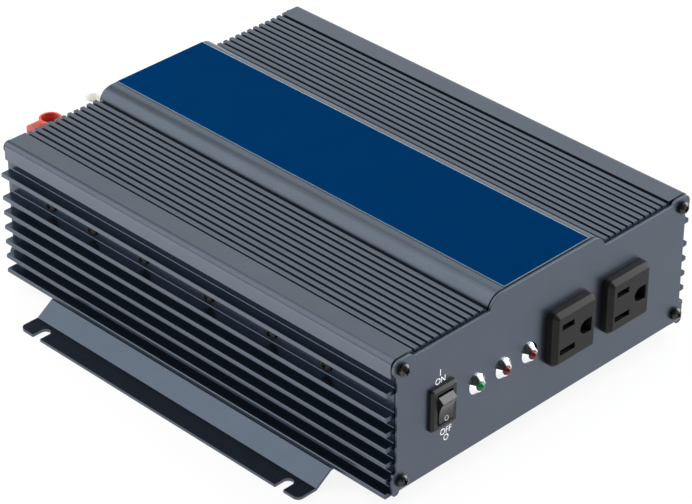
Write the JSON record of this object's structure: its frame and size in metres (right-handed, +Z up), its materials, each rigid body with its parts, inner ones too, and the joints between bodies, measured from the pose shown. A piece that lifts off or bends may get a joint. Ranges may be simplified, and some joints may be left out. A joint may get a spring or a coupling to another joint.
{
  "type": "power inverter",
  "caption": "Box-shaped DC to AC power inverter with a finned extruded case, flanged base, rocker switch, indicator lamps, mains outlets, rear cable terminals and a fan.",
  "frame": {"origin": "on the floor plane, midway across the overall width and the overall depth", "axes": "+X right seen from the front, +Y to the rear, +Z up"},
  "size_m": [0.2362, 0.2798, 0.0826],
  "materials": {
    "case_paint": "dark grey powder coat, satin",
    "panel_paint": "dark grey powder coat, satin",
    "base_paint": "dark grey powder coat, satin",
    "black_screw": "black finish",
    "label_blue": "semi-gloss film",
    "switch_black": "fine grain",
    "rocker_black": "gloss",
    "bezel_chrome": "polished",
    "lamp_green": "clear tinted dome",
    "lamp_red": "clear tinted dome",
    "outlet_grey": "fine grain",
    "terminal_red": "moulded",
    "terminal_pale": "moulded",
    "plain_brass": "plain",
    "copper": "enamelled or bare copper",
    "zinc_steel": "zinc plated",
    "guard_wire": "bright wire",
    "fan_black": "moulded",
    "board_green": "solder mask",
    "fuse_orange": "moulded",
    "ferrite": "sintered",
    "capacitor_sleeve": "shrink sleeve",
    "transistor_black": "moulded",
    "pad_grey": "matt"
  },
  "bodies": {
    "case": {"housing": "case_paint", "base_plate": "base_paint", "base_screws": "black_screw", "front_panel": "panel_paint", "front_panel_screws": "black_screw", "rear_panel": "panel_paint", "rear_panel_screws": "black_screw", "label_plate": "label_blue", "switch_housing": "switch_black", "switch_tabs": "zinc_steel", "lamp_bezels": "bezel_chrome", "lamp_power": "lamp_green", "lamp_overload": "lamp_red", "lamp_overheat": "lamp_red", "outlet_left": "outlet_grey", "outlet_right": "outlet_grey", "contacts_left": "plain_brass", "contacts_right": "plain_brass", "terminal_positive": "terminal_red", "terminal_negative": "terminal_pale", "terminal_sleeves": "plain_brass", "terminal_nuts": "plain_brass", "busbars": "copper", "ground_stud": "zinc_steel", "ground_nut": "zinc_steel", "fan_frame": "fan_black", "fan_motor": "copper", "fan_guard": "guard_wire", "fan_screws": "zinc_steel", "fan_nuts": "zinc_steel", "main_board": "board_green", "board_standoffs": "plain_brass", "board_screws": "zinc_steel", "control_board": "board_green", "input_fuses": "fuse_orange", "transformer_cores": "ferrite", "transformer_windings": "copper", "bus_capacitors": "capacitor_sleeve", "input_capacitors": "capacitor_sleeve", "choke_core": "ferrite", "choke_winding": "copper", "transistors": "transistor_black", "thermal_pads": "pad_grey", "side_screws_left": "black_screw", "side_screws_right": "black_screw", "transistor_nuts": "zinc_steel"},
    "rocker": {"switch_rocker": "rocker_black"},
    "rotor": {"fan_rotor": "fan_black"},
    "positive_screw": {"clamp_screw_positive": "zinc_steel"},
    "negative_screw": {"clamp_screw_negative": "zinc_steel"}
  },
  "joints": [
    {"name": "switch_rock", "type": "hinge", "parent": "case", "child": "rocker", "pos_m": [-0.0663, -0.13295, 0.0424], "axis": [-1, 0, 0], "range_deg": [0, 22]},
    {"name": "fan_spin", "type": "hinge", "parent": "case", "child": "rotor", "pos_m": [0.045, 0.10385, 0.04145], "axis": [0, 1, 0], "continuous": true},
    {"name": "positive_clamp", "type": "slide", "parent": "case", "child": "positive_screw", "axis": [0, 0, -1], "range_m": [0, 0.005]},
    {"name": "negative_clamp", "type": "slide", "parent": "case", "child": "negative_screw", "axis": [0, 0, -1], "range_m": [0, 0.005]}
  ]
}
